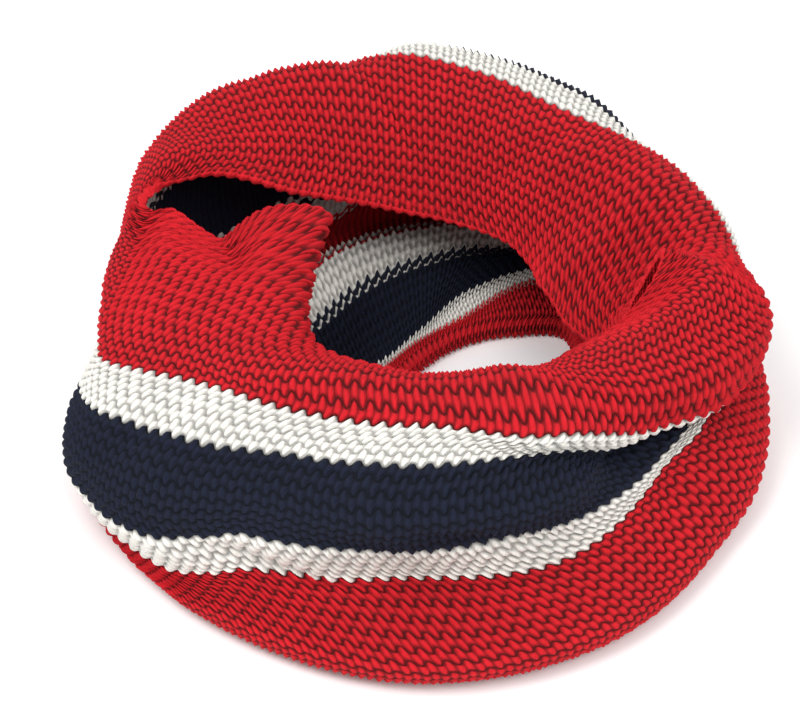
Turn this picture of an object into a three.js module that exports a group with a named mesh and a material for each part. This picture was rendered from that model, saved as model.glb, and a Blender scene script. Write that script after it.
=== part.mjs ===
// Loop scarf in garter stitch, knitted in the round in nine bands of red, white and navy.
// It stands slumped in a ring, with its upper edge folded in over the neck opening.
// Millimetres, +Z up, origin on the surface below the middle of the ring.

import * as THREE from 'three';

// Cloth
const CLOTH_THICKNESS = 4;
const BAND_GAP = 0.3;
const HALF_CLOTH = CLOTH_THICKNESS / 2;

// Grid of the solids
const STEPS_ROUND = 72;
const RIDGES_PER_STEP = 2.2;
const FOLD_STEPS_PER_RIDGE = 2;
const FOLD_MARGIN = 0.5;

// Radius of the fold where the lower end is tucked back under itself, lying on the surface
const FOLD_RADIUS = 3;
const FOLD_ANGLES = { brink: 90, lip: 45, rim: 0, sole: -45, under: -90 };

// Lines knitted round the tube, counted in garter ridges down from the upper edge
const LINES = [
  { name: 'edge', ridge: 0 },
  { name: 'roll', ridge: 5 },
  { name: 'crown', ridge: 10 },
  { name: 'seam1', ridge: 13 },
  { name: 'seam2', ridge: 17 },
  { name: 'belly', ridge: 21 },
  { name: 'seam3', ridge: 25 },
  { name: 'seam4', ridge: 29 },
  { name: 'flare', ridge: 36 },
  { name: 'foot', ridge: 40 },
  { name: 'seam5', ridge: 42 },
  { name: 'seam6', ridge: 46 },
  { name: 'seam7', ridge: 54 },
  { name: 'seam8', ridge: 58 },
  { name: 'brink', ridge: 61.5 },
  { name: 'lip', ridge: 62 },
  { name: 'rim', ridge: 62.5 },
  { name: 'sole', ridge: 63 },
  { name: 'under', ridge: 63.5 },
  { name: 'hem', ridge: 69 },
];

// Sections round the ring: each line's [radius, height, turn] at an angle in degrees from +X.
// A turn in degrees swings the line along the ring from its section, as a pleat or a twist does.
// rim and hem are radii of the tucked end, whose heights are the same all round.
const SECTIONS = [
  {
    at: -2, edge: [95, 98, 3], roll: [116, 95], crown: [137, 74], seam1: [132, 52],
    seam2: [100, 50.5], belly: [91, 46], seam3: [104, 42], seam4: [114, 39.5], flare: [141, 20],
    foot: [136, 2.2], seam5: [130, 2.8], seam6: [110, 7.5], seam7: [100, 7.5], seam8: [96, 8],
    rim: 84, hem: 104,
  },
  {
    at: 5, edge: [85, 81, -6], roll: [101, 89, -1], crown: [127, 84], seam1: [132, 63],
    seam2: [118, 52], belly: [105, 48], seam3: [112, 43], seam4: [123, 39.5], flare: [143, 20],
    foot: [137, 2.2], seam5: [130, 2.8], seam6: [111, 7.5], seam7: [101, 7.5], seam8: [97, 8],
    rim: 85, hem: 104,
  },
  {
    at: 10, edge: [78, 66, -18], roll: [91, 76, -8], crown: [120, 86], seam1: [132, 71],
    seam2: [128, 56], belly: [112, 49], seam3: [118, 44], seam4: [130, 39], flare: [144, 20],
    foot: [138, 2.2], seam5: [131, 2.8], seam6: [112, 7.5], seam7: [102, 7.5], seam8: [97, 8],
    rim: 85, hem: 105,
  },
  {
    at: 15, edge: [69, 50, -11], roll: [89, 62, -3], crown: [115, 86], seam1: [131, 77],
    seam2: [134, 61], belly: [119, 50], seam3: [123, 44], seam4: [135, 38], flare: [145, 20],
    foot: [139, 2.2], seam5: [132, 2.8], seam6: [113, 7.5], seam7: [103, 7.5], seam8: [97, 8],
    rim: 86, hem: 106,
  },
  {
    at: 22, edge: [60, 53, -5], roll: [88, 66, 0], crown: [113, 90], seam1: [131, 81],
    seam2: [138, 66], belly: [128, 53], seam3: [129, 44], seam4: [138, 36], flare: [147, 19],
    foot: [139, 2.2], seam5: [132, 2.8], seam6: [113, 7.5], seam7: [101, 7.5], seam8: [95, 8],
    rim: 86, hem: 106,
  },
  {
    at: 32, edge: [59, 58], roll: [85, 76], crown: [110, 97], seam1: [131, 84], seam2: [140, 69],
    belly: [134, 55], seam3: [133, 44], seam4: [139, 34], flare: [148, 18], foot: [140, 2.2],
    seam5: [132, 2.8], seam6: [114, 7.5], seam7: [99, 7.5], seam8: [91, 8], rim: 84, hem: 106,
  },
  {
    at: 47, edge: [66, 58], roll: [84, 79], crown: [104, 98], seam1: [119, 96], seam2: [134, 84],
    belly: [142, 69], seam3: [144, 53], seam4: [144, 38], flare: [154, 16], foot: [142, 3],
    seam5: [134, 6], seam6: [124, 9], seam7: [110, 8], seam8: [101, 8], rim: 92, hem: 110,
  },
  {
    at: 60, edge: [71, 60], roll: [84, 81], crown: [100, 99], seam1: [112, 103], seam2: [130, 99],
    belly: [147, 82], seam3: [151, 62], seam4: [147, 44], flare: [158, 18], foot: [143, 4],
    seam5: [134, 10], seam6: [126, 11], seam7: [118, 8], seam8: [107, 8], rim: 80, hem: 112,
  },
  {
    at: 76, edge: [75, 60], roll: [90, 82], crown: [107, 101], seam1: [119, 106], seam2: [138, 101],
    belly: [156, 82], seam3: [160, 62], seam4: [155, 43], flare: [163, 15], foot: [144, 4],
    seam5: [136, 12], seam6: [115, 12], seam7: [90, 8], seam8: [70, 8], rim: 63, hem: 106,
  },
  {
    at: 90, edge: [79, 61], roll: [96, 83], crown: [116, 101], seam1: [129, 107], seam2: [148, 100],
    belly: [164, 76], seam3: [165, 50], seam4: [160, 27], flare: [157, 6], foot: [140, 8],
    seam5: [126, 15], seam6: [101, 13], seam7: [61, 7.5], seam8: [55, 8], rim: 48, hem: 92,
  },
  {
    at: 108, edge: [82, 68], roll: [102, 88], crown: [130, 105], seam1: [152, 88], seam2: [161, 66],
    belly: [163, 40], seam3: [159, 14], seam4: [150, 5], flare: [138, 6], foot: [125, 11],
    seam5: [113, 17], seam6: [88, 11], seam7: [45, 7.5], seam8: [42, 8], rim: 35, hem: 80,
  },
  {
    at: 127, edge: [88, 79], roll: [112, 97], crown: [137, 104], seam1: [152, 84], seam2: [156, 62],
    belly: [155, 38], seam3: [150, 14], seam4: [142, 5], flare: [126, 7], foot: [112, 13],
    seam5: [100, 17], seam6: [77, 9], seam7: [40, 7.5], seam8: [35.5, 8], rim: 29, hem: 72,
  },
  {
    at: 146, edge: [114, 92], roll: [127, 100], crown: [140, 91], seam1: [145, 71],
    seam2: [147, 52], belly: [146, 32], seam3: [142, 13], seam4: [135, 4.5], flare: [118, 6],
    foot: [107, 9], seam5: [98, 12], seam6: [77, 8], seam7: [40, 7.5], seam8: [35.5, 8], rim: 29,
    hem: 68,
  },
  {
    at: 158, edge: [125.5, 92, -1], roll: [131, 85, 1], crown: [133, 70, 5], seam1: [131, 54, 7],
    seam2: [130, 41, 7], belly: [132, 28, 6], seam3: [133, 15, 4], seam4: [130, 5, 2],
    flare: [120, 3.5], foot: [112, 5], seam5: [104, 8], seam6: [82, 7.5], seam7: [44, 7.5],
    seam8: [38.5, 8], rim: 32, hem: 74,
  },
  {
    at: 170, edge: [120, 90, -10], roll: [122, 80, 1], crown: [129, 70, 13], seam1: [131, 62, 18],
    seam2: [140, 50, 21], belly: [146, 38, 21], seam3: [146, 26, 20], seam4: [142, 16, 16],
    flare: [136, 6, 10], foot: [129, 2.2, 6], seam5: [116, 3, 4], seam6: [94, 7.5],
    seam7: [50, 7.5], seam8: [43.5, 8], rim: 37, hem: 82,
  },
  {
    at: 180, edge: [110, 88, -22], roll: [104, 87, -4], crown: [114, 78, 13], seam1: [118, 71, 19],
    seam2: [138, 58, 20], belly: [149, 44, 20], seam3: [150, 28, 20], seam4: [144, 16, 18],
    flare: [138, 6, 12], foot: [132, 2.2, 8], seam5: [122, 3, 6], seam6: [98, 7.5],
    seam7: [54, 7.5], seam8: [45.5, 8], rim: 39, hem: 86,
  },
  {
    at: 190, edge: [88, 84, -28], roll: [80, 89, -4], crown: [98.5, 83, 13], seam1: [104, 76, 19],
    seam2: [130, 64, 18], belly: [149, 50, 18], seam3: [149, 30, 18], seam4: [143, 15, 16],
    flare: [139, 6, 12], foot: [133, 2.2, 8], seam5: [124, 3, 6], seam6: [101, 7.5],
    seam7: [57, 7.5], seam8: [47, 8], rim: 41, hem: 90,
  },
  {
    at: 200, edge: [80, 86, -55], roll: [68, 90, -6], crown: [91, 85, 13], seam1: [97, 79, 18],
    seam2: [122, 68, 17], belly: [144, 54, 16], seam3: [146, 34, 16], seam4: [139, 15, 14],
    flare: [139, 6, 12], foot: [133, 2.2, 8], seam5: [125, 3, 6], seam6: [102, 7.5],
    seam7: [59, 7.5], seam8: [46.5, 8], rim: 42, hem: 92,
  },
  {
    at: 210, edge: [63, 80, -80], roll: [61, 88, -1], crown: [84, 88, 12], seam1: [93, 80, 16],
    seam2: [116, 70, 15], belly: [138, 57, 14], seam3: [142, 38, 14], seam4: [136, 16, 12],
    flare: [139, 7, 10], foot: [133, 2.2, 8], seam5: [126, 3, 6], seam6: [103, 7.5],
    seam7: [61, 7.5], seam8: [47.5, 8], rim: 43, hem: 92,
  },
  {
    at: 222, edge: [62, 46, -26], roll: [56, 80, 0], crown: [77, 89, 8], seam1: [90, 80.5, 11],
    seam2: [110, 72, 10], belly: [130, 61, 10], seam3: [134, 44, 9], seam4: [130, 21, 8],
    flare: [140, 9, 6], foot: [133, 2.2, 4], seam5: [126, 3, 2], seam6: [103, 7.5],
    seam7: [63, 7.5], seam8: [48.5, 8], rim: 44, hem: 92,
  },
  {
    at: 240, edge: [58, 46], roll: [50, 74], crown: [68, 89, 3], seam1: [86, 80.5, 4],
    seam2: [103, 73.5, 4], belly: [122, 63, 3], seam3: [127, 50], seam4: [122, 27],
    flare: [141, 13], foot: [134, 2.2], seam5: [127, 3], seam6: [103, 7.5], seam7: [70, 7.5],
    seam8: [54.5, 8], rim: 50, hem: 92,
  },
  {
    at: 270, edge: [58, 46], roll: [46, 69], crown: [60, 84], seam1: [82, 80], seam2: [100, 76],
    belly: [118, 63], seam3: [110, 44], seam4: [105, 23], flare: [146, 13], foot: [137, 2.2],
    seam5: [129, 3], seam6: [104, 7.5], seam7: [80, 7.5], seam8: [66.5, 8], rim: 62, hem: 94,
  },
  {
    at: 300, edge: [60, 46], roll: [48, 68], crown: [63, 84], seam1: [96, 77], seam2: [93, 66],
    belly: [110, 57], seam3: [108, 42], seam4: [112, 26], flare: [143, 14], foot: [135, 2.2],
    seam5: [127, 3], seam6: [104, 7.5], seam7: [88, 7.5], seam8: [79, 8], rim: 73, hem: 96,
  },
  {
    at: 328, edge: [62, 68], roll: [80, 86], crown: [104, 80], seam1: [106, 58], seam2: [96, 49],
    belly: [86, 44], seam3: [107, 38.5], seam4: [109, 34.5], flare: [137, 14], foot: [131, 2.2],
    seam5: [125, 3], seam6: [106, 7.5], seam7: [96, 7.5], seam8: [88.5, 8], rim: 82, hem: 98,
  },
  {
    at: 343, edge: [80, 81], roll: [98, 90], crown: [122, 78], seam1: [124, 54], seam2: [98, 49],
    belly: [89, 44], seam3: [112, 41], seam4: [117, 39.5], flare: [140, 18], foot: [134, 2.2],
    seam5: [127, 3], seam6: [108, 7.5], seam7: [99, 7.5], seam8: [91.5, 8], rim: 85, hem: 100,
  },
];

// Bands of one yarn between two ridges, each joined to the next in the knitting
const BANDS = [
  { node: 'red_upper_band', from: 0, to: 13, yarn: 'red' },
  { node: 'white_band_1', from: 13, to: 17, yarn: 'white' },
  { node: 'navy_band_1', from: 17, to: 25, yarn: 'navy' },
  { node: 'white_band_2', from: 25, to: 29, yarn: 'white' },
  { node: 'red_middle_band', from: 29, to: 42, yarn: 'red' },
  { node: 'white_band_3', from: 42, to: 46, yarn: 'white' },
  { node: 'navy_band_2', from: 46, to: 54, yarn: 'navy' },
  { node: 'white_band_4', from: 54, to: 58, yarn: 'white' },
  { node: 'red_lower_band', from: 58, to: 69, yarn: 'red' },
];

const YARN_COLORS = { red: 0xc4141f, white: 0xe9e5dc, navy: 0x16203c };
const YARN_ROUGHNESS = 0.95;

const RIDGES = LINES.map((line) => line.ridge);

// One line's turn from its section's angle, radius and height
function linePlace(section, name) {
  if (name in FOLD_ANGLES) {
    const angle = THREE.MathUtils.degToRad(FOLD_ANGLES[name]);
    return [0, section.rim + FOLD_RADIUS * (1 - Math.cos(angle)),
      HALF_CLOTH + FOLD_RADIUS * (1 + Math.sin(angle))];
  }
  if (name === 'hem') return [0, section.hem, HALF_CLOTH];
  const [radius, height, turn = 0] = section[name];
  return [turn, radius, height];
}

// Slopes through values at places, flat at each peak so that the curve never overshoots
function steadySlopes(places, values) {
  const last = places.length - 1;
  const slope = (i) => (values[i + 1] - values[i]) / (places[i + 1] - places[i]);
  return places.map((place, i) => {
    if (i === 0) return slope(0);
    if (i === last) return slope(last - 1);
    const before = slope(i - 1);
    const after = slope(i);
    if (before * after <= 0) return 0;
    const stepBefore = place - places[i - 1];
    const stepAfter = places[i + 1] - place;
    const weightBefore = 2 * stepAfter + stepBefore;
    const weightAfter = stepAfter + 2 * stepBefore;
    return (weightBefore + weightAfter) / (weightBefore / before + weightAfter / after);
  });
}

// Slopes through values at places, for a smooth curve through every point
function smoothSlopes(places, values) {
  const last = places.length - 1;
  const slope = (i) => (values[i + 1] - values[i]) / (places[i + 1] - places[i]);
  return places.map((place, i) => {
    if (i === 0) return slope(0);
    if (i === last) return slope(last - 1);
    const stepBefore = place - places[i - 1];
    const stepAfter = places[i + 1] - place;
    return (slope(i - 1) * stepAfter + slope(i) * stepBefore) / (stepBefore + stepAfter);
  });
}

// Cubic curve with the given slopes, read at one place
function readCurve(places, values, slopes, at) {
  let i = 0;
  while (i < places.length - 2 && at >= places[i + 1]) i += 1;
  const step = places[i + 1] - places[i];
  const t = (at - places[i]) / step;
  const rest = 1 - t;
  return (1 + 2 * t) * rest * rest * values[i] + t * rest * rest * step * slopes[i]
    + t * t * (3 - 2 * t) * values[i + 1] - t * t * rest * step * slopes[i + 1];
}

// The section table as curves round the ring, run on past both ends so that they close
const ROUND = 360;
const SECTIONS_PAST_END = 3;
const ringSections = [
  ...SECTIONS.slice(-SECTIONS_PAST_END).map((section) => ({ ...section, at: section.at - ROUND })),
  ...SECTIONS,
  ...SECTIONS.slice(0, SECTIONS_PAST_END).map((section) => ({ ...section, at: section.at + ROUND })),
];
const ringAngles = ringSections.map((section) => section.at);
const ringCurves = LINES.map((line) => [0, 1, 2].map((axis) => {
  const values = ringSections.map((section) => linePlace(section, line.name)[axis]);
  return { values, slopes: steadySlopes(ringAngles, values) };
}));

// Points of all lines at one angle round the ring
function sectionPoints(angle) {
  const first = SECTIONS[0].at;
  const at = THREE.MathUtils.euclideanModulo(angle - first, ROUND) + first;
  return ringCurves.map((curves) => {
    const [turn, radius, height] = curves.map((c) => readCurve(ringAngles, c.values, c.slopes, at));
    const around = THREE.MathUtils.degToRad(at + turn);
    return new THREE.Vector3(radius * Math.cos(around), radius * Math.sin(around), height);
  });
}

// The middle of the cloth at one angle, as a function of the ridge counted from the edge
function clothProfile(angle) {
  const points = sectionPoints(angle);
  const along = [0];
  for (let i = 1; i < points.length; i += 1) {
    along.push(along[i - 1] + Math.sqrt(points[i].distanceTo(points[i - 1])));
  }
  const alongSlopes = steadySlopes(RIDGES, along);
  const axes = ['x', 'y', 'z'].map((axis) => {
    const values = points.map((point) => point[axis]);
    return { values, slopes: smoothSlopes(along, values) };
  });
  return (ridge) => {
    const at = readCurve(RIDGES, along, alongSlopes, ridge);
    const point = new THREE.Vector3(...axes.map((a) => readCurve(along, a.values, a.slopes, at)));
    point.z = Math.max(point.z, HALF_CLOTH);
    return point;
  };
}

const angles = Array.from({ length: STEPS_ROUND }, (_, i) => (ROUND * i) / STEPS_ROUND);
const profiles = angles.map(clothProfile);

// Direction down the cloth and its outward normal at one step and ridge
const SMALL_RIDGE = 0.05;
function clothFrame(step, ridge) {
  const lastRidge = RIDGES[RIDGES.length - 1];
  const above = Math.max(ridge - SMALL_RIDGE, 0);
  const below = Math.min(ridge + SMALL_RIDGE, lastRidge);
  const down = profiles[step](below).sub(profiles[step](above)).normalize();
  const next = profiles[(step + 1) % STEPS_ROUND](ridge);
  const previous = profiles[(step + STEPS_ROUND - 1) % STEPS_ROUND](ridge);
  const normal = new THREE.Vector3().crossVectors(down, next.sub(previous)).normalize();
  return { down, normal };
}

// Ridges at which a band is sampled, closer together round the tucked fold
function sampleRidges(band) {
  const ridgeOf = (name) => LINES.find((line) => line.name === name).ridge;
  const fold = [ridgeOf('brink') - FOLD_MARGIN, ridgeOf('under') + FOLD_MARGIN];
  const stops = [band.from, ...fold.filter((ridge) => ridge > band.from && ridge < band.to), band.to];
  const ridges = [band.from];
  for (let i = 1; i < stops.length; i += 1) {
    const span = stops[i] - stops[i - 1];
    const folded = stops[i] === fold[1];
    const count = Math.ceil(folded ? span * FOLD_STEPS_PER_RIDGE : span / RIDGES_PER_STEP);
    for (let k = 1; k <= count; k += 1) ridges.push(stops[i - 1] + (span * k) / count);
  }
  return ridges;
}

// A closed ring of cloth between two ridges, with its two faces and its two cut ends
function bandGeometry(band) {
  const ridges = sampleRidges(band);
  const positions = [];
  const lastRow = ridges.length - 1;
  for (let step = 0; step < STEPS_ROUND; step += 1) {
    ridges.forEach((ridge, row) => {
      const { down, normal } = clothFrame(step, ridge);
      const middle = profiles[step](ridge);
      if (row === 0) middle.addScaledVector(down, BAND_GAP / 2);
      if (row === lastRow) middle.addScaledVector(down, -BAND_GAP / 2);
      for (const side of [HALF_CLOTH, -HALF_CLOTH]) {
        const point = middle.clone().addScaledVector(normal, side);
        positions.push(point.x, point.y, Math.max(point.z, 0));
      }
    });
  }
  const OUTER = 0;
  const INNER = 1;
  const vertex = (step, row, side) => ((step % STEPS_ROUND) * ridges.length + row) * 2 + side;
  const indices = [];
  const addQuad = (a, b, c, d) => indices.push(a, b, c, a, c, d);
  for (let step = 0; step < STEPS_ROUND; step += 1) {
    for (let row = 0; row < lastRow; row += 1) {
      addQuad(vertex(step, row, OUTER), vertex(step, row + 1, OUTER),
        vertex(step + 1, row + 1, OUTER), vertex(step + 1, row, OUTER));
      addQuad(vertex(step, row, INNER), vertex(step + 1, row, INNER),
        vertex(step + 1, row + 1, INNER), vertex(step, row + 1, INNER));
    }
    addQuad(vertex(step, 0, OUTER), vertex(step + 1, 0, OUTER),
      vertex(step + 1, 0, INNER), vertex(step, 0, INNER));
    addQuad(vertex(step, lastRow, OUTER), vertex(step, lastRow, INNER),
      vertex(step + 1, lastRow, INNER), vertex(step + 1, lastRow, OUTER));
  }
  const geometry = new THREE.BufferGeometry();
  geometry.setAttribute('position', new THREE.Float32BufferAttribute(positions, 3));
  geometry.setIndex(indices);
  geometry.computeVertexNormals();
  return geometry;
}

function yarnMaterial(yarn) {
  return new THREE.MeshStandardMaterial({
    color: YARN_COLORS[yarn],
    roughness: YARN_ROUGHNESS,
    metalness: 0,
  });
}

const scarf = new THREE.Group();
for (const band of BANDS) {
  const mesh = new THREE.Mesh(bandGeometry(band), yarnMaterial(band.yarn));
  mesh.name = band.node;
  scarf.add(mesh);
}

// The sections are measured from the ring's own middle, so the whole is moved over the origin
const extent = new THREE.Box3().setFromObject(scarf);
const middle = extent.getCenter(new THREE.Vector3());
scarf.position.set(-middle.x, -middle.y, 0);

export default scarf;
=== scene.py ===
"""Loop scarf in garter stitch: nine bands of red, white and navy yarn in one knitted tube.

The tube stands slumped in a ring with its upper edge folded in over the neck opening and its
lower end lying inside on the floor. Each band is a thin closed shell on its solid's form, with
every stitch raised, and the creases of the cloth placed one by one.
"""

import math

import bpy
import numpy as np
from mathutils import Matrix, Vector


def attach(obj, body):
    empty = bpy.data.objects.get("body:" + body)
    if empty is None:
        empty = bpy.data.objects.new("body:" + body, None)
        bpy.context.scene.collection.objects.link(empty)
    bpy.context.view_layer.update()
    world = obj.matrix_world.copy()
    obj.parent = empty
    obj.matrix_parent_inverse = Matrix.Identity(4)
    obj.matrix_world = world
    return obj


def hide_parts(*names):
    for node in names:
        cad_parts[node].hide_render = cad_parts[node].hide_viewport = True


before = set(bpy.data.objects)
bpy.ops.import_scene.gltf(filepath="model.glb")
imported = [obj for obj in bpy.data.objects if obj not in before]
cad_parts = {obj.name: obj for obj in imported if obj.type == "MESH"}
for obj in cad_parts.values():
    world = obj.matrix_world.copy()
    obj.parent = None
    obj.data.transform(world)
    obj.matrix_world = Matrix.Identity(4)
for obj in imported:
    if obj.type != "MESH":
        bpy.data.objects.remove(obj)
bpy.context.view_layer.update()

BODY = "root"
MM = 0.001

# Cloth, in millimetres
CLOTH_THICKNESS = 4.0
HALF_CLOTH = CLOTH_THICKNESS / 2
FOLD_RADIUS = 3.0
FOLD_ANGLES = {"brink": 90, "lip": 45, "rim": 0, "sole": -45, "under": -90}

# The solids' own grid, steps round the ring and down one ridge
CAD_STEPS_ROUND = 72
CAD_STEPS_PER_RIDGE = 2

# Gauge of the knitting
STITCHES = 128
STITCH_WIDTH = 5.8
RIDGE_HEIGHT = 5.8

# Grid of the shells: fine rows where the stitches show, plain rows on the hidden face of the
# floor layer, and lining rows on the hidden face of the rest. The first stitch is at the back.
SAMPLES_PER_STITCH = 8
FINE_ROWS_PER_RIDGE = 5
PLAIN_ROWS_PER_RIDGE = 2
LINING_ROWS_PER_RIDGE = 1
ROWS_PER_RIDGE = 10
ANGLE_STEPS = 1440
START_ANGLE = 90
ROUND = 360
SECTIONS_PAST_END = 3
SMALLEST_LENGTH = 1e-9

# Faces of the cloth, and what is uneven from stitch to stitch
OUTSIDE, INSIDE = 0, 1
WAVE, RISE = 0, 1

# Relief of the stitches. Heights are in millimetres, from the middle of the cloth for the valley
# and from the valley for the yarn. Reaches and waves are in ridges. The floor layer starts at
# its own ridge and has its own rise.
VALLEY_HEIGHT = 0.7
YARN_RISE = 2.3
HIDDEN_YARN_RISE = 1.4
FLOOR_YARN_RISE = 2.7
BEAD_REACH = 0.47
SLANT_REACH = 0.36
YARN_WAVE = 0.24
SLANT_DROP = 0.74
UNEVEN_RISE = 0.12
UNEVEN_WAVE = 0.04
BEADS_PER_STITCH = 2
HALF_RIDGE = 0.5
FLATTEST = 0.35
FLOOR_RIDGE = 46
EDGE_BEAD = 2.1
BEAD_SWELL = 0.25
BEAD_ROWS = 5
SEAM_GAP = 0.1

# Lines knitted round the tube, counted in garter ridges down from the upper edge
LINES = {
    "edge": 0, "roll": 5, "crown": 10, "seam1": 13, "seam2": 17, "belly": 21, "seam3": 25,
    "seam4": 29, "flare": 36, "foot": 40, "seam5": 42, "seam6": 46, "seam7": 54, "seam8": 58,
    "brink": 61.5, "lip": 62, "rim": 62.5, "sole": 63, "under": 63.5, "hem": 69,
}
LAST_RIDGE = LINES["hem"]

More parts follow.
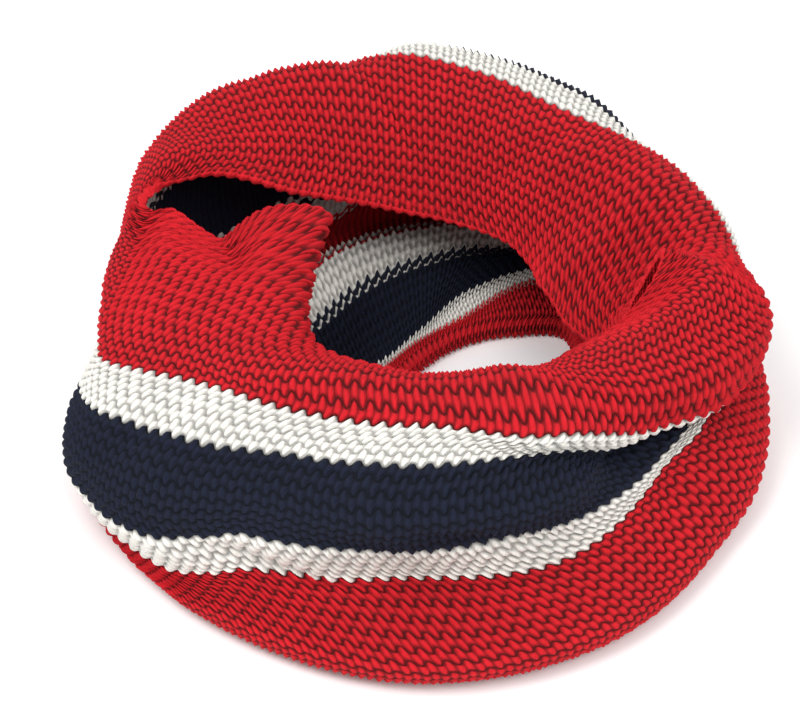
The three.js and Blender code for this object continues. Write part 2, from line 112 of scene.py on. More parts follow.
# Sections round the ring: each line's (radius, height, turn) at an angle in degrees from +X.
# A turn in degrees swings the line along the ring from its section, as a pleat or a twist does.
# rim and hem are radii of the tucked end, whose heights are the same all round.
SECTIONS = [
    dict(at=-2, edge=(95, 98, 3), roll=(116, 95), crown=(137, 74), seam1=(132, 52), seam2=(100, 50.5),
         belly=(91, 46), seam3=(104, 42), seam4=(114, 39.5), flare=(141, 20), foot=(136, 2.2),
         seam5=(130, 2.8), seam6=(110, 7.5), seam7=(100, 7.5), seam8=(96, 8), rim=84, hem=104),
    dict(at=5, edge=(85, 81, -6), roll=(101, 89, -1), crown=(127, 84), seam1=(132, 63), seam2=(118, 52),
         belly=(105, 48), seam3=(112, 43), seam4=(123, 39.5), flare=(143, 20), foot=(137, 2.2),
         seam5=(130, 2.8), seam6=(111, 7.5), seam7=(101, 7.5), seam8=(97, 8), rim=85, hem=104),
    dict(at=10, edge=(78, 66, -18), roll=(91, 76, -8), crown=(120, 86), seam1=(132, 71),
         seam2=(128, 56), belly=(112, 49), seam3=(118, 44), seam4=(130, 39), flare=(144, 20),
         foot=(138, 2.2), seam5=(131, 2.8), seam6=(112, 7.5), seam7=(102, 7.5), seam8=(97, 8), rim=85,
         hem=105),
    dict(at=15, edge=(69, 50, -11), roll=(89, 62, -3), crown=(115, 86), seam1=(131, 77),
         seam2=(134, 61), belly=(119, 50), seam3=(123, 44), seam4=(135, 38), flare=(145, 20),
         foot=(139, 2.2), seam5=(132, 2.8), seam6=(113, 7.5), seam7=(103, 7.5), seam8=(97, 8), rim=86,
         hem=106),
    dict(at=22, edge=(60, 53, -5), roll=(88, 66, 0), crown=(113, 90), seam1=(131, 81), seam2=(138, 66),
         belly=(128, 53), seam3=(129, 44), seam4=(138, 36), flare=(147, 19), foot=(139, 2.2),
         seam5=(132, 2.8), seam6=(113, 7.5), seam7=(101, 7.5), seam8=(95, 8), rim=86, hem=106),
    dict(at=32, edge=(59, 58), roll=(85, 76), crown=(110, 97), seam1=(131, 84), seam2=(140, 69),
         belly=(134, 55), seam3=(133, 44), seam4=(139, 34), flare=(148, 18), foot=(140, 2.2),
         seam5=(132, 2.8), seam6=(114, 7.5), seam7=(99, 7.5), seam8=(91, 8), rim=84, hem=106),
    dict(at=47, edge=(66, 58), roll=(84, 79), crown=(104, 98), seam1=(119, 96), seam2=(134, 84),
         belly=(142, 69), seam3=(144, 53), seam4=(144, 38), flare=(154, 16), foot=(142, 3),
         seam5=(134, 6), seam6=(124, 9), seam7=(110, 8), seam8=(101, 8), rim=92, hem=110),
    dict(at=60, edge=(71, 60), roll=(84, 81), crown=(100, 99), seam1=(112, 103), seam2=(130, 99),
         belly=(147, 82), seam3=(151, 62), seam4=(147, 44), flare=(158, 18), foot=(143, 4),
         seam5=(134, 10), seam6=(126, 11), seam7=(118, 8), seam8=(107, 8), rim=80, hem=112),
    dict(at=76, edge=(75, 60), roll=(90, 82), crown=(107, 101), seam1=(119, 106), seam2=(138, 101),
         belly=(156, 82), seam3=(160, 62), seam4=(155, 43), flare=(163, 15), foot=(144, 4),
         seam5=(136, 12), seam6=(115, 12), seam7=(90, 8), seam8=(70, 8), rim=63, hem=106),
    dict(at=90, edge=(79, 61), roll=(96, 83), crown=(116, 101), seam1=(129, 107), seam2=(148, 100),
         belly=(164, 76), seam3=(165, 50), seam4=(160, 27), flare=(157, 6), foot=(140, 8),
         seam5=(126, 15), seam6=(101, 13), seam7=(61, 7.5), seam8=(55, 8), rim=48, hem=92),
    dict(at=108, edge=(82, 68), roll=(102, 88), crown=(130, 105), seam1=(152, 88), seam2=(161, 66),
         belly=(163, 40), seam3=(159, 14), seam4=(150, 5), flare=(138, 6), foot=(125, 11),
         seam5=(113, 17), seam6=(88, 11), seam7=(45, 7.5), seam8=(42, 8), rim=35, hem=80),
    dict(at=127, edge=(88, 79), roll=(112, 97), crown=(137, 104), seam1=(152, 84), seam2=(156, 62),
         belly=(155, 38), seam3=(150, 14), seam4=(142, 5), flare=(126, 7), foot=(112, 13),
         seam5=(100, 17), seam6=(77, 9), seam7=(40, 7.5), seam8=(35.5, 8), rim=29, hem=72),
    dict(at=146, edge=(114, 92), roll=(127, 100), crown=(140, 91), seam1=(145, 71), seam2=(147, 52),
         belly=(146, 32), seam3=(142, 13), seam4=(135, 4.5), flare=(118, 6), foot=(107, 9),
         seam5=(98, 12), seam6=(77, 8), seam7=(40, 7.5), seam8=(35.5, 8), rim=29, hem=68),
    dict(at=158, edge=(125.5, 92, -1), roll=(131, 85, 1), crown=(133, 70, 5), seam1=(131, 54, 7),
         seam2=(130, 41, 7), belly=(132, 28, 6), seam3=(133, 15, 4), seam4=(130, 5, 2),
         flare=(120, 3.5), foot=(112, 5), seam5=(104, 8), seam6=(82, 7.5), seam7=(44, 7.5),
         seam8=(38.5, 8), rim=32, hem=74),
    dict(at=170, edge=(120, 90, -10), roll=(122, 80, 1), crown=(129, 70, 13), seam1=(131, 62, 18),
         seam2=(140, 50, 21), belly=(146, 38, 21), seam3=(146, 26, 20), seam4=(142, 16, 16),
         flare=(136, 6, 10), foot=(129, 2.2, 6), seam5=(116, 3, 4), seam6=(94, 7.5), seam7=(50, 7.5),
         seam8=(43.5, 8), rim=37, hem=82),
    dict(at=180, edge=(110, 88, -22), roll=(104, 87, -4), crown=(114, 78, 13), seam1=(118, 71, 19),
         seam2=(138, 58, 20), belly=(149, 44, 20), seam3=(150, 28, 20), seam4=(144, 16, 18),
         flare=(138, 6, 12), foot=(132, 2.2, 8), seam5=(122, 3, 6), seam6=(98, 7.5), seam7=(54, 7.5),
         seam8=(45.5, 8), rim=39, hem=86),
    dict(at=190, edge=(88, 84, -28), roll=(80, 89, -4), crown=(98.5, 83, 13), seam1=(104, 76, 19),
         seam2=(130, 64, 18), belly=(149, 50, 18), seam3=(149, 30, 18), seam4=(143, 15, 16),
         flare=(139, 6, 12), foot=(133, 2.2, 8), seam5=(124, 3, 6), seam6=(101, 7.5), seam7=(57, 7.5),
         seam8=(47, 8), rim=41, hem=90),
    dict(at=200, edge=(80, 86, -55), roll=(68, 90, -6), crown=(91, 85, 13), seam1=(97, 79, 18),
         seam2=(122, 68, 17), belly=(144, 54, 16), seam3=(146, 34, 16), seam4=(139, 15, 14),
         flare=(139, 6, 12), foot=(133, 2.2, 8), seam5=(125, 3, 6), seam6=(102, 7.5), seam7=(59, 7.5),
         seam8=(46.5, 8), rim=42, hem=92),
    dict(at=210, edge=(63, 80, -80), roll=(61, 88, -1), crown=(84, 88, 12), seam1=(93, 80, 16),
         seam2=(116, 70, 15), belly=(138, 57, 14), seam3=(142, 38, 14), seam4=(136, 16, 12),
         flare=(139, 7, 10), foot=(133, 2.2, 8), seam5=(126, 3, 6), seam6=(103, 7.5), seam7=(61, 7.5),
         seam8=(47.5, 8), rim=43, hem=92),
    dict(at=222, edge=(62, 46, -26), roll=(56, 80, 0), crown=(77, 89, 8), seam1=(90, 80.5, 11),
         seam2=(110, 72, 10), belly=(130, 61, 10), seam3=(134, 44, 9), seam4=(130, 21, 8),
         flare=(140, 9, 6), foot=(133, 2.2, 4), seam5=(126, 3, 2), seam6=(103, 7.5), seam7=(63, 7.5),
         seam8=(48.5, 8), rim=44, hem=92),
    dict(at=240, edge=(58, 46), roll=(50, 74), crown=(68, 89, 3), seam1=(86, 80.5, 4),
         seam2=(103, 73.5, 4), belly=(122, 63, 3), seam3=(127, 50), seam4=(122, 27), flare=(141, 13),
         foot=(134, 2.2), seam5=(127, 3), seam6=(103, 7.5), seam7=(70, 7.5), seam8=(54.5, 8), rim=50,
         hem=92),
    dict(at=270, edge=(58, 46), roll=(46, 69), crown=(60, 84), seam1=(82, 80), seam2=(100, 76),
         belly=(118, 63), seam3=(110, 44), seam4=(105, 23), flare=(146, 13), foot=(137, 2.2),
         seam5=(129, 3), seam6=(104, 7.5), seam7=(80, 7.5), seam8=(66.5, 8), rim=62, hem=94),
    dict(at=300, edge=(60, 46), roll=(48, 68), crown=(63, 84), seam1=(96, 77), seam2=(93, 66),
         belly=(110, 57), seam3=(108, 42), seam4=(112, 26), flare=(143, 14), foot=(135, 2.2),
         seam5=(127, 3), seam6=(104, 7.5), seam7=(88, 7.5), seam8=(79, 8), rim=73, hem=96),
    dict(at=328, edge=(62, 68), roll=(80, 86), crown=(104, 80), seam1=(106, 58), seam2=(96, 49),
         belly=(86, 44), seam3=(107, 38.5), seam4=(109, 34.5), flare=(137, 14), foot=(131, 2.2),
         seam5=(125, 3), seam6=(106, 7.5), seam7=(96, 7.5), seam8=(88.5, 8), rim=82, hem=98),
    dict(at=343, edge=(80, 81), roll=(98, 90), crown=(122, 78), seam1=(124, 54), seam2=(98, 49),
         belly=(89, 44), seam3=(112, 41), seam4=(117, 39.5), flare=(140, 18), foot=(134, 2.2),
         seam5=(127, 3), seam6=(108, 7.5), seam7=(99, 7.5), seam8=(91.5, 8), rim=85, hem=100),
]

# Bands of one yarn between two ridges, from the folded-in upper edge to the tucked lower end
BANDS = [
    dict(node="red_upper_band", start=0, end=13, yarn="red", held="folded"),
    dict(node="white_band_1", start=13, end=17, yarn="white", held="draped"),
    dict(node="navy_band_1", start=17, end=25, yarn="navy", held="draped"),
    dict(node="white_band_2", start=25, end=29, yarn="white", held="draped"),
    dict(node="red_middle_band", start=29, end=42, yarn="red", held="draped"),
    dict(node="white_band_3", start=42, end=46, yarn="white", held="laid"),
    dict(node="navy_band_2", start=46, end=54, yarn="navy", held="laid"),
    dict(node="white_band_4", start=54, end=58, yarn="white", held="laid"),
    dict(node="red_lower_band", start=58, end=69, yarn="red", held="folded"),
]
YARN_COLORS = {
    "red": (0.52, 0.008, 0.015),
    "white": (0.76, 0.74, 0.69),
    "navy": (0.0055, 0.0085, 0.023),
}
# Painted shade: each yarn's colour is darkened in the valleys between its loops, down to this share of
# it at the valley floor
PAINTED_VALLEY_SHADE = {"red": 0.13, "white": 0.40, "navy": 0.3}

# Stretches of the cloth whose stitches show, on its right side and on its wrong side
SHOWN_OUTSIDE = (0, 42)
SHOWN_INSIDE = (38, 63)

RELIEF_SEED = 7

# Soft creases of the cloth: each lies round a stitch and a ridge, reaches some stitches along
# the ridge and some ridges across it to either side, and pushes the cloth in or, below 0, out
CREASES = [
    dict(stitch=4, ridge=9, along=5, across=6, width=7, depth=2.4),
    dict(stitch=15, ridge=20, along=1.5, across=9, width=9, depth=3.0),
    dict(stitch=22, ridge=31, along=-2.5, across=8, width=8, depth=2.6),
    dict(stitch=31, ridge=8, along=2, across=5, width=7, depth=1.8),
    dict(stitch=38, ridge=17, along=1, across=7, width=8, depth=2.2),
    dict(stitch=49, ridge=20, along=-3, across=6, width=9, depth=2.6),
    dict(stitch=57, ridge=27, along=4, across=3, width=7, depth=2.4),
    dict(stitch=66, ridge=20, along=2, across=4.5, width=9, depth=-2.0),
    dict(stitch=72, ridge=24, along=5, across=2.5, width=7, depth=2.2),
    dict(stitch=79, ridge=33, along=-4, across=2.5, width=8, depth=2.0),
    dict(stitch=88, ridge=22, along=3, across=4, width=8, depth=1.8),
    dict(stitch=97, ridge=32, along=5, across=2, width=8, depth=2.2),
    dict(stitch=104, ridge=9, along=4, across=2.5, width=7, depth=1.6),
    dict(stitch=110, ridge=33, along=2, across=5, width=8, depth=2.4),
    dict(stitch=118, ridge=8, along=-3, across=4, width=7, depth=1.8),
    dict(stitch=124, ridge=33, along=2.5, across=6, width=9, depth=2.6),
]


def steady_slopes(places, values):
    """Slopes through values at places, flat at each peak so that the curve never overshoots."""
    step = np.diff(places)[:, None]
    slope = np.diff(values, axis=0) / step
    before, after = slope[:-1], slope[1:]
    weight_before = 2 * step[1:] + step[:-1]
    weight_after = step[1:] + 2 * step[:-1]
    same_way = before * after > 0
    safe_before = np.where(same_way, before, 1.0)
    safe_after = np.where(same_way, after, 1.0)
    middle = (weight_before + weight_after) / (weight_before / safe_before + weight_after / safe_after)
    return np.concatenate([slope[:1], np.where(same_way, middle, 0.0), slope[-1:]])


def smooth_slopes(places, values):
    """Slopes through values at places, for a smooth curve through every point."""
    step = np.diff(places)[:, None]
    slope = np.diff(values, axis=0) / step
    middle = (slope[:-1] * step[1:] + slope[1:] * step[:-1]) / (step[1:] + step[:-1])
    return np.concatenate([slope[:1], middle, slope[-1:]])


def read_curve(places, values, slopes, at):
    """Cubic curve with the given slopes, read at each place in at."""
    i = np.clip(np.searchsorted(places, at, side="right") - 1, 0, len(places) - 2)
    step = (places[i + 1] - places[i])[:, None]
    t = (at - places[i])[:, None] / step
    rest = 1 - t
    return ((1 + 2 * t) * rest * rest * values[i] + t * rest * rest * step * slopes[i]
            + t * t * (3 - 2 * t) * values[i + 1] - t * t * rest * step * slopes[i + 1])


def line_place(section, name):
    """One line's turn from its section's angle, radius and height."""
    if name in FOLD_ANGLES:
        angle = math.radians(FOLD_ANGLES[name])
        radius = section["rim"] + FOLD_RADIUS * (1 - math.cos(angle))
        return (0, radius, HALF_CLOTH + FOLD_RADIUS * (1 + math.sin(angle)))
    if name == "hem":
        return (0, section["hem"], HALF_CLOTH)
    radius, height, *turn = section[name]
    return (turn[0] if turn else 0, radius, height)


def section_points(angles):
    """Points of all lines at each angle round the ring."""
    at = np.array([section["at"] for section in SECTIONS], float)
    table = np.array([[line_place(s, name) for name in LINES] for s in SECTIONS], float)
    last, first_few = slice(-SECTIONS_PAST_END, None), slice(None, SECTIONS_PAST_END)
    places = np.concatenate([at[last] - ROUND, at, at[first_few] + ROUND])
    values = np.concatenate([table[last], table, table[first_few]])
    values = values.reshape(len(places), -1)
    first = at[0]
    wrapped = np.mod(angles - first, ROUND) + first
    read = read_curve(places, values, steady_slopes(places, values), wrapped)
    turn, radius, height = np.moveaxis(read.reshape(len(angles), len(LINES), 3), -1, 0)
    around = np.radians(wrapped[:, None] + turn)
    return np.stack([radius * np.cos(around), radius * np.sin(around), height], axis=-1)


def cloth_middle(angles, ridges):
    """The middle of the cloth, in millimetres, at each angle and ridge."""
    line_ridges = np.array(list(LINES.values()), float)
    surface = np.empty((len(angles), len(ridges), 3))
    for i, points in enumerate(section_points(angles)):
        chords = np.linalg.norm(np.diff(points, axis=0), axis=1)
        along = np.concatenate([[0], np.cumsum(np.sqrt(chords))])[:, None]
        at = read_curve(line_ridges, along, steady_slopes(line_ridges, along), ridges)[:, 0]
        places = along[:, 0]
        surface[i] = read_curve(places, points, smooth_slopes(places, points), at)
    surface[..., 2] = np.maximum(surface[..., 2], HALF_CLOTH)
    return surface


def unit(vectors):
    return vectors / np.maximum(np.linalg.norm(vectors, axis=-1, keepdims=True), SMALLEST_LENGTH)


def ring_centre():
    """The middle of the solids' own grid, over which the whole scarf is moved."""
    angles = np.arange(CAD_STEPS_ROUND) * ROUND / CAD_STEPS_ROUND
    ridges = np.arange(LAST_RIDGE * CAD_STEPS_PER_RIDGE + 1) / CAD_STEPS_PER_RIDGE
    points = cloth_middle(angles, ridges)
    round_it = np.roll(points, -1, axis=0) - np.roll(points, 1, axis=0)
    normal = unit(np.cross(np.gradient(points, axis=1), round_it))
    faces = np.concatenate([points + HALF_CLOTH * normal, points - HALF_CLOTH * normal])
    low, high = faces.min(axis=(0, 1)), faces.max(axis=(0, 1))
    return np.array([(low[0] + high[0]) / 2, (low[1] + high[1]) / 2, 0.0])


def stitch_grid():
    """The cloth's middle on a grid of equal stitches: each ridge's own length is shared out
    evenly among its stitches, starting at the back."""
    angles = START_ANGLE + np.arange(ANGLE_STEPS + 1) * ROUND / ANGLE_STEPS
    ridges = np.arange(LAST_RIDGE * ROWS_PER_RIDGE + 1) / ROWS_PER_RIDGE
    surface = cloth_middle(angles, ridges)
    steps = np.linalg.norm(np.diff(surface, axis=0), axis=-1)
    length = np.concatenate([np.zeros((1, len(ridges))), np.cumsum(steps, axis=0)])
    share = length / length[-1]
    columns = np.arange(STITCHES * SAMPLES_PER_STITCH) / (STITCHES * SAMPLES_PER_STITCH)
    grid = np.empty((len(columns), len(ridges), 3))
    for row in range(len(ridges)):
        for axis in range(3):
            grid[:, row, axis] = np.interp(columns, share[:, row], surface[:, row, axis])
    return grid - ring_centre()


def grid_frame(grid):
    """Direction and size of one ridge down the cloth, and the outward normal, at each point."""
    down = np.gradient(grid, 1 / ROWS_PER_RIDGE, axis=1)
    return down, unit(np.cross(down, np.roll(grid, -1, axis=0) - np.roll(grid, 1, axis=0)))


def add_creases(grid):
    """The grid with each crease pushed in along its normal, fading out at both of its ends."""
    normal = grid_frame(grid)[1]
    stitch = np.arange(len(grid))[:, None] / SAMPLES_PER_STITCH
    ridge = np.arange(grid.shape[1])[None, :] / ROWS_PER_RIDGE
    push = np.zeros(grid.shape[:2])
    for crease in CREASES:
        x = (stitch - crease["stitch"] + STITCHES / 2) % STITCHES - STITCHES / 2
        y = ridge - crease["ridge"]
        reach = math.hypot(crease["along"], crease["across"])
        lengthwise = (x * crease["along"] + y * crease["across"]) / reach ** 2
        crosswise = (x * crease["across"] - y * crease["along"]) / reach * STITCH_WIDTH / crease["width"]
        push += crease["depth"] * np.exp(-lengthwise ** 4 - crosswise ** 2)
    return grid - normal * push[..., None]


GRID = add_creases(stitch_grid())
DOWN, NORMAL = grid_frame(GRID)
COLUMNS = len(GRID)
STITCH_OF_COLUMN = np.arange(COLUMNS) / SAMPLES_PER_STITCH

chance = np.random.default_rng(RELIEF_SEED)
SPARE_RIDGES = 4
UNEVEN = chance.uniform(-1, 1, (2, 2, STITCHES * BEADS_PER_STITCH, LAST_RIDGE + SPARE_RIDGES))


def uneven(kind, side, ridge_number):
    """A value from -1 to 1 that changes smoothly from loop to loop along one ridge."""
    row = UNEVEN[kind, side][:, ridge_number]
    at = STITCH_OF_COLUMN * BEADS_PER_STITCH
    low = np.floor(at).astype(int)
    blend = (1 - np.cos(math.pi * (at - low))) / 2
    return row[low % len(row)] * (1 - blend) + row[(low + 1) % len(row)] * blend


EVEN_WAVE = -YARN_WAVE * np.sin(2 * math.pi * STITCH_OF_COLUMN)


def yarn_wave(side, ridge_number):
    """How far one ridge's yarn swings up and down, in ridges, at each column."""
    return EVEN_WAVE + UNEVEN_WAVE * uneven(WAVE, side, ridge_number)


def yarn_profile(side, ridge_number, across):
    """Height of one ridge's yarn, from 0 to 1, at a distance across it in ridges."""
    bead = (1 - np.cos(2 * BEADS_PER_STITCH * math.pi * STITCH_OF_COLUMN)) / 2
    swell = (1 - SLANT_DROP * (1 - bead)) * (1 + UNEVEN_RISE * uneven(RISE, side, ridge_number))
    reach = SLANT_REACH + (BEAD_REACH - SLANT_REACH) * bead
    return swell * np.sqrt(np.maximum(0, 1 - (across / reach) ** 2))


def is_shown(side, ridge):
    first, last = SHOWN_OUTSIDE if side == OUTSIDE else SHOWN_INSIDE
    return first <= ridge < last


def side_ridges(band, side):
    """Ridges at which one side of a band is sampled, closer together where it shows."""
    ridges = [float(band["start"])]
    for ridge in range(band["start"], band["end"]):
        hidden_rows = PLAIN_ROWS_PER_RIDGE if ridge >= FLOOR_RIDGE else LINING_ROWS_PER_RIDGE
        rows = FINE_ROWS_PER_RIDGE if is_shown(side, ridge) else hidden_rows
        ridges += [ridge + (k + 1) / rows for k in range(rows)]
    return ridges


def yarn_rise(side, ridge, row):
    """How far the yarn stands out of the valleys, in millimetres: as one value on the floor
    layer, and elsewhere less where the ridges are pressed together."""
    if ridge >= FLOOR_RIDGE:
        return FLOOR_YARN_RISE
    rise = YARN_RISE if is_shown(side, ridge) else HIDDEN_YARN_RISE
    return rise * np.clip(np.linalg.norm(DOWN[:, row], axis=1) / RIDGE_HEIGHT, FLATTEST, 1)


def row_points(band, side, ridge):
    """One row of points on a side of a band, with the height of the yarn at each, from 0 to 1."""
    phase = 0.0 if side == OUTSIDE else HALF_RIDGE
    number = int(math.floor(ridge + phase))
    from_seam = min(1.0, min(ridge - band["start"], band["end"] - ridge) / HALF_RIDGE)
    from_edge = min(1.0, min(ridge, LAST_RIDGE - ridge) / HALF_RIDGE)
    shift = EVEN_WAVE * from_edge + UNEVEN_WAVE * uneven(WAVE, side, number) * from_seam
    heights = np.zeros(COLUMNS)
    for near in (number - 1, number, number + 1):
        across = ridge + phase + shift - (near + HALF_RIDGE + yarn_wave(side, near))
        heights = np.maximum(heights, yarn_profile(side, near, across))
    row = int(round(ridge * ROWS_PER_RIDGE))
    out = VALLEY_HEIGHT + yarn_rise(side, ridge, row) * heights
    facing = 1 if side == OUTSIDE else -1
    points = GRID[:, row] + DOWN[:, row] * shift[:, None] + NORMAL[:, row] * (facing * out)[:, None]
    if ridge == band["start"] and ridge > 0:
        points = points + unit(DOWN[:, row]) * SEAM_GAP / 2
    if ridge == band["end"] and ridge < LAST_RIDGE:
        points = points - unit(DOWN[:, row]) * SEAM_GAP / 2
    return points, heights


def bead_rows(ridge):
    """Rows round a bead of yarn along the tube's free edge, from one face to the other."""
    row = int(round(ridge * ROWS_PER_RIDGE))
    away = -unit(DOWN[:, row]) if ridge == 0 else unit(DOWN[:, row])
    swell = 1 + BEAD_SWELL * np.cos(2 * math.pi * STITCH_OF_COLUMN)[:, None]
    reach = EDGE_BEAD * swell
    rows = []
    for k in range(BEAD_ROWS):
        turn = math.pi * (k + 0.5) / BEAD_ROWS
        rows.append(GRID[:, row] + reach * (math.cos(turn) * NORMAL[:, row] + math.sin(turn) * away))
    return rows


def band_rows(band):
    """All rows of a band's closed shell: down its outside, then back up its inside.
    Each is its points, its ridge, the height of its yarn and 1 where it is inside."""
    rows = []
    full = np.ones(COLUMNS)
    for ridge in side_ridges(band, OUTSIDE):
        points, heights = row_points(band, OUTSIDE, ridge)
        rows.append((points, ridge, heights, 0.0))
    if band["end"] == LAST_RIDGE:
        rows += [(points, LAST_RIDGE, full, 0.0) for points in bead_rows(LAST_RIDGE)]
    for ridge in reversed(side_ridges(band, INSIDE)):
        points, heights = row_points(band, INSIDE, ridge)
        rows.append((points, ridge, heights, 1.0))
    if band["start"] == 0:
        rows += [(points, 0, full, 0.0) for points in reversed(bead_rows(0))]
    return rows


def band_mesh(band):
    rows = band_rows(band)
    count = len(rows)
    points = np.stack([row[0] for row in rows])
    points[..., 2] = np.maximum(points[..., 2], 0.0)
    column = np.arange(COLUMNS)
    after = (column + 1) % COLUMNS
    quads = []
    for i in range(count):
        j = (i + 1) % count
        quads.append(np.stack([i * COLUMNS + column, j * COLUMNS + column,
                               j * COLUMNS + after, i * COLUMNS + after], axis=1))
    quads = np.concatenate(quads).astype(np.int32)

    mesh = bpy.data.meshes.new(f"{band['node']}_knit")
    mesh.vertices.add(points.shape[0] * COLUMNS)
    mesh.vertices.foreach_set("co", (points.reshape(-1, 3) * MM).astype(np.float32).ravel())
    mesh.loops.add(quads.size)
    mesh.loops.foreach_set("vertex_index", quads.ravel())
    mesh.polygons.add(len(quads))
    mesh.polygons.foreach_set("loop_start", np.arange(0, quads.size, 4, dtype=np.int32))
    mesh.polygons.foreach_set("use_smooth", np.ones(len(quads), bool))
    mesh.update(calc_edges=True)

    ridge = np.array([row[1] for row in rows], np.float32)
    stitch = (column / SAMPLES_PER_STITCH).astype(np.float32)
    knit = mesh.uv_layers.new(name="knit")
    uv = np.empty((count, COLUMNS, 4, 2), np.float32)
    uv[..., 0, 0] = uv[..., 1, 0] = stitch
    uv[..., 2, 0] = uv[..., 3, 0] = stitch + 1 / SAMPLES_PER_STITCH
    uv[..., 0, 1] = uv[..., 3, 1] = ridge[:, None]
    uv[..., 1, 1] = uv[..., 2, 1] = np.roll(ridge, -1)[:, None]
    knit.data.foreach_set("uv", uv.ravel())
    height = mesh.attributes.new("height", "FLOAT", "POINT")
    height.data.foreach_set("value", np.concatenate([row[2] for row in rows]).astype(np.float32))
    inside = mesh.attributes.new("inside", "FLOAT", "POINT")
    inside.data.foreach_set("value", np.repeat([row[3] for row in rows], COLUMNS).astype(np.float32))
    mesh.validate()
    return mesh


class Nodes:
    """Short calls for building one material's nodes."""

    def __init__(self, material):
        self.tree = material.node_tree
        self.add = self.tree.nodes.new
        self.principled = self.tree.nodes["Principled BSDF"]

    def link(self, value, socket):
        if isinstance(value, (int, float, tuple)):
            socket.default_value = value
        else:
            self.tree.links.new(value, socket)

    def math(self, operation, *values):
        node = self.add("ShaderNodeMath")
        node.operation = operation
        for value, socket in zip(values, node.inputs):
            self.link(value, socket)
        return node.outputs[0]

    def attribute(self, name):
        node = self.add("ShaderNodeAttribute")
        node.attribute_name = name
        return node.outputs["Fac"]

    def mix(self, factor, a, b):
        node = self.add("ShaderNodeMix")
        node.data_type = "RGBA"
        self.link(factor, node.inputs["Factor"])
        self.link(a, node.inputs["A"])
        self.link(b, node.inputs["B"])
        return node.outputs["Result"]

    def multiply(self, color, factor):
        node = self.add("ShaderNodeVectorMath")
        node.operation = "SCALE"
        self.link(color, node.inputs[0])
        self.link(factor, node.inputs["Scale"])
        return node.outputs[0]

    def noise(self, vector, scale, roughness=0.5):
        node = self.add("ShaderNodeTexNoise")
        node.inputs["Scale"].default_value = scale
        node.inputs["Detail"].default_value = NOISE_DETAIL
        node.inputs["Roughness"].default_value = roughness
        self.link(vector, node.inputs["Vector"])
        return node.outputs["Fac"]

    def smooth_step(self, value, low, high):
        node = self.add("ShaderNodeMapRange")
        node.interpolation_type = "SMOOTHSTEP"
        self.link(value, node.inputs["Value"])
        node.inputs["From Min"].default_value = low
        node.inputs["From Max"].default_value = high
        return node.outputs["Result"]

    def range(self, value, to_low, to_high):
        node = self.add("ShaderNodeMapRange")
        self.link(value, node.inputs["Value"])
        node.inputs["To Min"].default_value = to_low
        node.inputs["To Max"].default_value = to_high
        return node.outputs["Result"]

    def bump(self, height, strength, depth):
        node = self.add("ShaderNodeBump")
        node.inputs["Strength"].default_value = strength
        node.inputs["Distance"].default_value = depth
        self.link(height, node.inputs["Height"])
        return node


# Look of the yarn: depths in metres, scales in waves a metre, plies in turns a stitch and a ridge
YARN_ROUGHNESS = 0.88
YARN_SPECULAR = 0.25
SHEEN_WEIGHT = 0.12
SHEEN_ROUGHNESS = 0.45
NOISE_DETAIL = 3.0
MOTTLE_SCALE = 45.0
MOTTLE_TONES = (0.86, 1.14)
FIBRE_SCALE = 900.0
FIBRE_NOISE_ROUGHNESS = 0.7
FIBRE_TONES = (0.88, 1.12)
# Yarn height above which the painted valley shade no longer darkens the colour
FULL_SHADE_HEIGHT = 0.75
FIBRE_BUMP = 0.35
FIBRE_DEPTH = 0.0004
PLY_TURNS = 3.0
PLY_SLANT = 2.2
PLY_BUMP = 0.5
PLY_DEPTH = 0.0002

# Where the yarn changes, the wrong side shows a row of the next yarn's loops and then a thin
# line of the band's own yarn; distances are in ridges above the seam and in stitches along it
LOOP_ROW = -0.70
LOOP_HALF_HEIGHT = 0.33
LOOP_HALF_WIDTH = 0.50
LOOP_OUTER_EDGE = 1.15
LOOP_INNER_EDGE = 0.85
DASH_HALF_WIDTH = 0.36


def next_yarn_loops(nodes, stitch, ridge, band):
    """1 on the next yarn's loops that show through on the wrong side, else 0."""
    along = nodes.math("SUBTRACT", nodes.math("FRACT", stitch), 0.5)
    across = nodes.math("SUBTRACT", ridge, band["end"] + LOOP_ROW)
    wide = nodes.math("DIVIDE", along, LOOP_HALF_WIDTH)
    high = nodes.math("DIVIDE", across, LOOP_HALF_HEIGHT)
    reach = nodes.math("ADD", nodes.math("MULTIPLY", wide, wide), nodes.math("MULTIPLY", high, high))
    cover = nodes.smooth_step(reach, LOOP_OUTER_EDGE, LOOP_INNER_EDGE)
    if band["yarn"] == "white":
        below = nodes.math("GREATER_THAN", across, 0.0)
        between = nodes.math("GREATER_THAN", nodes.math("ABSOLUTE", along), DASH_HALF_WIDTH)
        cover = nodes.math("MAXIMUM", cover, nodes.math("MULTIPLY", below, between))
    return nodes.math("MULTIPLY", cover, nodes.attribute("inside"))


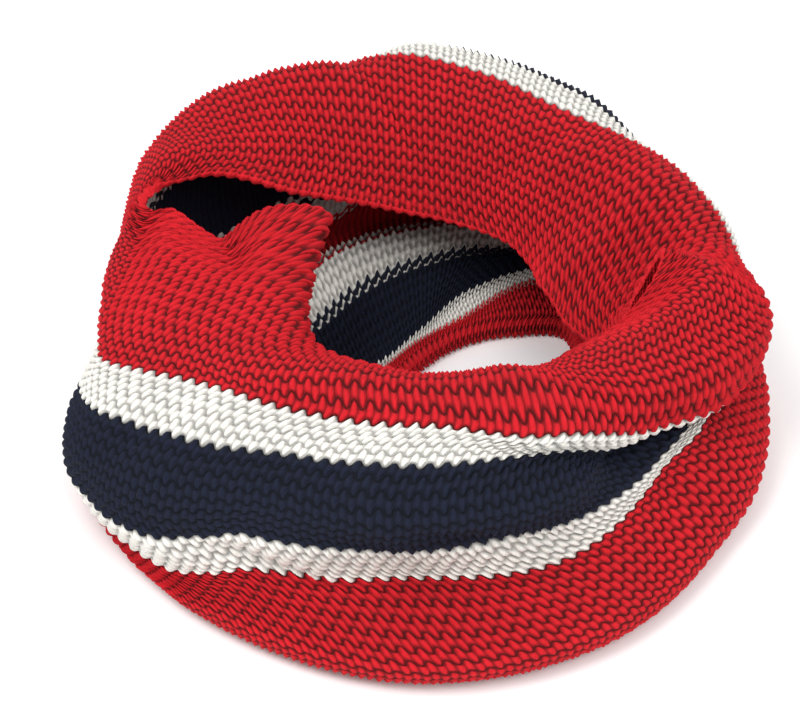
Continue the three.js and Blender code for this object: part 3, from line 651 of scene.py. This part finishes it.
def knit_material(band, next_band):
    material = bpy.data.materials.new(f"{band['node']}_yarn")
    material.use_nodes = True
    nodes = Nodes(material)

    uv = nodes.add("ShaderNodeUVMap")
    uv.uv_map = "knit"
    split = nodes.add("ShaderNodeSeparateXYZ")
    nodes.link(uv.outputs[0], split.inputs[0])
    stitch, ridge = split.outputs[0], split.outputs[1]
    place = nodes.add("ShaderNodeTexCoord").outputs["Object"]
    height = nodes.attribute("height")

    color = YARN_COLORS[band["yarn"]]
    if next_band is not None:
        other = YARN_COLORS[next_band["yarn"]]
        loops = next_yarn_loops(nodes, stitch, ridge, band)
        color = nodes.mix(loops, (*color, 1.0), (*other, 1.0))
    mottle = nodes.range(nodes.noise(place, MOTTLE_SCALE), *MOTTLE_TONES)
    fibre = nodes.noise(place, FIBRE_SCALE, FIBRE_NOISE_ROUGHNESS)
    flecks = nodes.range(fibre, *FIBRE_TONES)
    # Painted shade: the colour darkens where the yarn is low, in the valleys between loops, on top of
    # the yarn's own mottle and flecks
    raised = nodes.smooth_step(height, 0.0, FULL_SHADE_HEIGHT)
    painted_valley_shade = nodes.range(raised, PAINTED_VALLEY_SHADE[band["yarn"]], 1.0)
    mottle_and_painted_shade = nodes.math("MULTIPLY", nodes.math("MULTIPLY", mottle, flecks), painted_valley_shade)
    color = nodes.multiply(color, mottle_and_painted_shade)

    twist = nodes.math("ADD", nodes.math("MULTIPLY", stitch, PLY_TURNS),
                       nodes.math("MULTIPLY", ridge, PLY_SLANT))
    ply = nodes.math("SINE", nodes.math("MULTIPLY", twist, 2 * math.pi))
    ply_bump = nodes.bump(ply, PLY_BUMP, PLY_DEPTH)
    fibre_bump = nodes.bump(fibre, FIBRE_BUMP, FIBRE_DEPTH)
    nodes.link(ply_bump.outputs[0], fibre_bump.inputs["Normal"])

    shader = nodes.principled
    nodes.link(color, shader.inputs["Base Color"])
    nodes.link(fibre_bump.outputs[0], shader.inputs["Normal"])
    shader.inputs["Roughness"].default_value = YARN_ROUGHNESS
    shader.inputs["Specular IOR Level"].default_value = YARN_SPECULAR
    shader.inputs["Sheen Weight"].default_value = SHEEN_WEIGHT
    shader.inputs["Sheen Roughness"].default_value = SHEEN_ROUGHNESS
    shader.inputs["Sheen Tint"].default_value = (*YARN_COLORS[band["yarn"]], 1.0)
    return material


def make_band(index, band):
    next_band = BANDS[index + 1] if index + 1 < len(BANDS) else None
    piece = bpy.data.objects.new(f"{band['node']}_knit", band_mesh(band))
    bpy.context.scene.collection.objects.link(piece)
    piece.data.materials.append(knit_material(band, next_band))
    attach(piece, BODY)
    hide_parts(band["node"])
    return piece


# Studio, in metres and watts
CAMERA_TARGET = Vector((-0.0094, -0.0123, 0.045))
CAMERA_ELEVATION = math.radians(40)
CAMERA_DISTANCE = 1.1
SENSOR_WIDTH = 36.0
PHOTO_WIDTH = 800
MM_PER_PIXEL = 0.41
CLIP_RANGE = (0.01, 50.0)
FLOOR_SIDE = 6.0
FLOOR_TONE = 0.93
FLOOR_ROUGHNESS = 0.9
SKY_STRENGTH = 0.95
LIGHTS = [
    dict(name="key", place=(-0.55, -0.55, 1.25), size=0.7, power=10.0),
    dict(name="fill", place=(0.35, -0.9, 1.2), size=0.6, power=7.0),
]


def make_camera():
    data = bpy.data.cameras.new("camera")
    data.sensor_width = SENSOR_WIDTH
    data.lens = SENSOR_WIDTH * CAMERA_DISTANCE / (MM_PER_PIXEL * MM * PHOTO_WIDTH)
    data.clip_start, data.clip_end = CLIP_RANGE
    camera = bpy.data.objects.new("camera", data)
    back = Vector((0, -math.cos(CAMERA_ELEVATION), math.sin(CAMERA_ELEVATION)))
    camera.location = CAMERA_TARGET + back * CAMERA_DISTANCE
    camera.rotation_euler = (math.pi / 2 - CAMERA_ELEVATION, 0, 0)
    bpy.context.scene.collection.objects.link(camera)
    bpy.context.scene.camera = camera


def make_light(name, place, size, power):
    data = bpy.data.lights.new(name, "AREA")
    data.shape = "DISK"
    data.size = size
    data.energy = power
    light = bpy.data.objects.new(name, data)
    light.location = place
    light.rotation_mode = "QUATERNION"
    light.rotation_quaternion = (CAMERA_TARGET - Vector(place)).to_track_quat("-Z", "Y")
    bpy.context.scene.collection.objects.link(light)


def make_floor():
    half = FLOOR_SIDE / 2
    mesh = bpy.data.meshes.new("floor")
    mesh.from_pydata([(-half, -half, 0), (half, -half, 0), (half, half, 0), (-half, half, 0)],
                     [], [(0, 1, 2, 3)])
    floor = bpy.data.objects.new("floor", mesh)
    bpy.context.scene.collection.objects.link(floor)
    material = bpy.data.materials.new("pale_floor")
    material.use_nodes = True
    shader = material.node_tree.nodes["Principled BSDF"]
    shader.inputs["Base Color"].default_value = (FLOOR_TONE, FLOOR_TONE, FLOOR_TONE, 1)
    shader.inputs["Roughness"].default_value = FLOOR_ROUGHNESS
    mesh.materials.append(material)


def make_studio():
    world = bpy.data.worlds.new("studio")
    world.use_nodes = True
    sky = world.node_tree.nodes["Background"]
    sky.inputs["Color"].default_value = (1, 1, 1, 1)
    sky.inputs["Strength"].default_value = SKY_STRENGTH
    bpy.context.scene.world = world
    for light in LIGHTS:
        make_light(**light)
    bpy.context.scene.view_settings.view_transform = "Standard"


make_camera()
make_floor()
make_studio()
for band_index, band in enumerate(BANDS):
    make_band(band_index, band)
